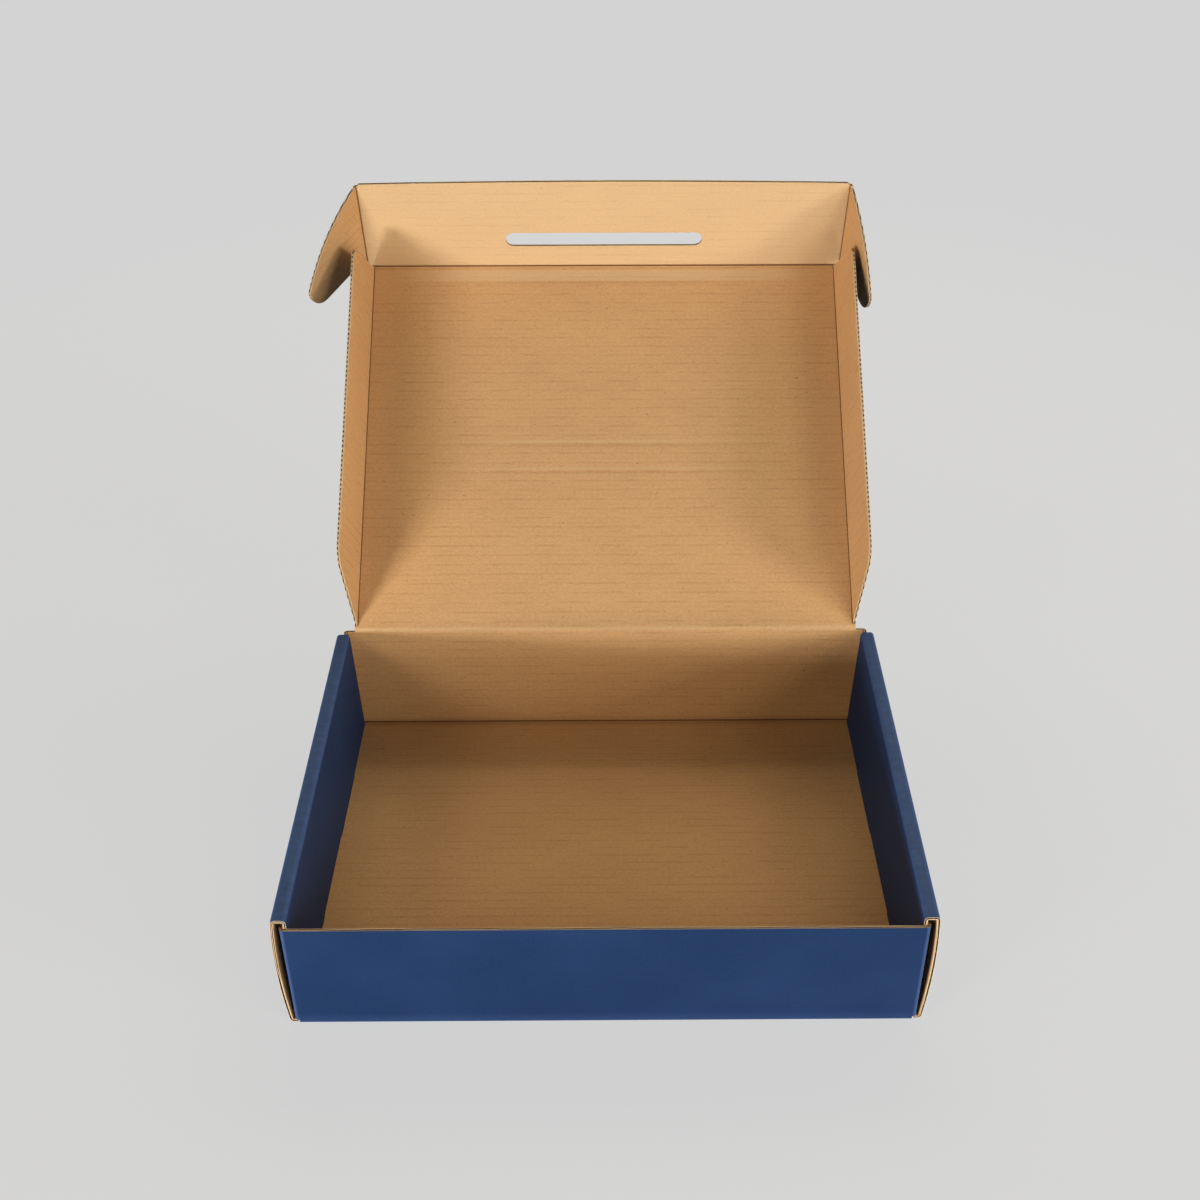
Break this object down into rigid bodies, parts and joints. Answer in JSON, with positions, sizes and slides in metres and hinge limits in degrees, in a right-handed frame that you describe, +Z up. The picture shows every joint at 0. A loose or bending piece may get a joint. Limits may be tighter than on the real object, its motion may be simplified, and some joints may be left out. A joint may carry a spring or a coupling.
{
  "type": "corrugated mailer box",
  "caption": "Folded corrugated mailer box with rolled side walls, open hinged lid, side wings and a tuck flap with ears and a hand slot; kraft inside, plain dark blue print outside.",
  "frame": {"origin": "centre of the tray's underside, on the surface the box stands on", "axes": "+Z up, +Y from the front wall to the lid's hinge, +X to the right seen from the front"},
  "size_m": [0.3416, 0.4316, 0.2861],
  "materials": {
    "board": "uncoated kraft inside, matt dark blue print outside"
  },
  "bodies": {
    "tray": {"tray": "board"},
    "lid": {"lid": "board"},
    "wing_left": {"lid_wing_left": "board"},
    "wing_right": {"lid_wing_right": "board"},
    "tuck_flap": {"tuck_flap": "board"},
    "ear_left": {"ear_left": "board"},
    "ear_right": {"ear_right": "board"}
  },
  "joints": [
    {"name": "lid_fold", "type": "hinge", "parent": "tray", "child": "lid", "pos_m": [0, 0.1219, 0.0703], "axis": [-1, 0, 0], "range_deg": [-140.6, 39.4]},
    {"name": "wing_left_fold", "type": "hinge", "parent": "lid", "child": "wing_left", "pos_m": [-0.1476, 0.21501, 0.14678], "axis": [0.0083, 0.7727, 0.6347], "range_deg": [-2.73, 9.71]},
    {"name": "wing_right_fold", "type": "hinge", "parent": "lid", "child": "wing_right", "pos_m": [0.1476, 0.21501, 0.14678], "axis": [0.0083, -0.7727, -0.6347], "range_deg": [-2.59, 9.22]},
    {"name": "tuck_flap_fold", "type": "hinge", "parent": "lid", "child": "tuck_flap", "pos_m": [0, 0.30813, 0.22327], "axis": [1, 0, 0], "range_deg": [-8.7, 31.02]},
    {"name": "ear_left_fold", "type": "hinge", "parent": "tuck_flap", "child": "ear_left", "pos_m": [-0.1503, 0.29742, 0.25369], "axis": [0, -0.3322, 0.9432], "range_deg": [-8.48, 30.22]},
    {"name": "ear_right_fold", "type": "hinge", "parent": "tuck_flap", "child": "ear_right", "pos_m": [0.1503, 0.29742, 0.25369], "axis": [0, 0.3322, -0.9432], "range_deg": [-3.43, 12.22]}
  ],
  "couplings": [
    {"joint": "wing_left_fold", "follows": "lid_fold", "ratio": -0.06899},
    {"joint": "wing_right_fold", "follows": "lid_fold", "ratio": -0.065434},
    {"joint": "tuck_flap_fold", "follows": "lid_fold", "ratio": -0.22048},
    {"joint": "ear_left_fold", "follows": "lid_fold", "ratio": -0.21479},
    {"joint": "ear_right_fold", "follows": "lid_fold", "ratio": -0.086771}
  ]
}
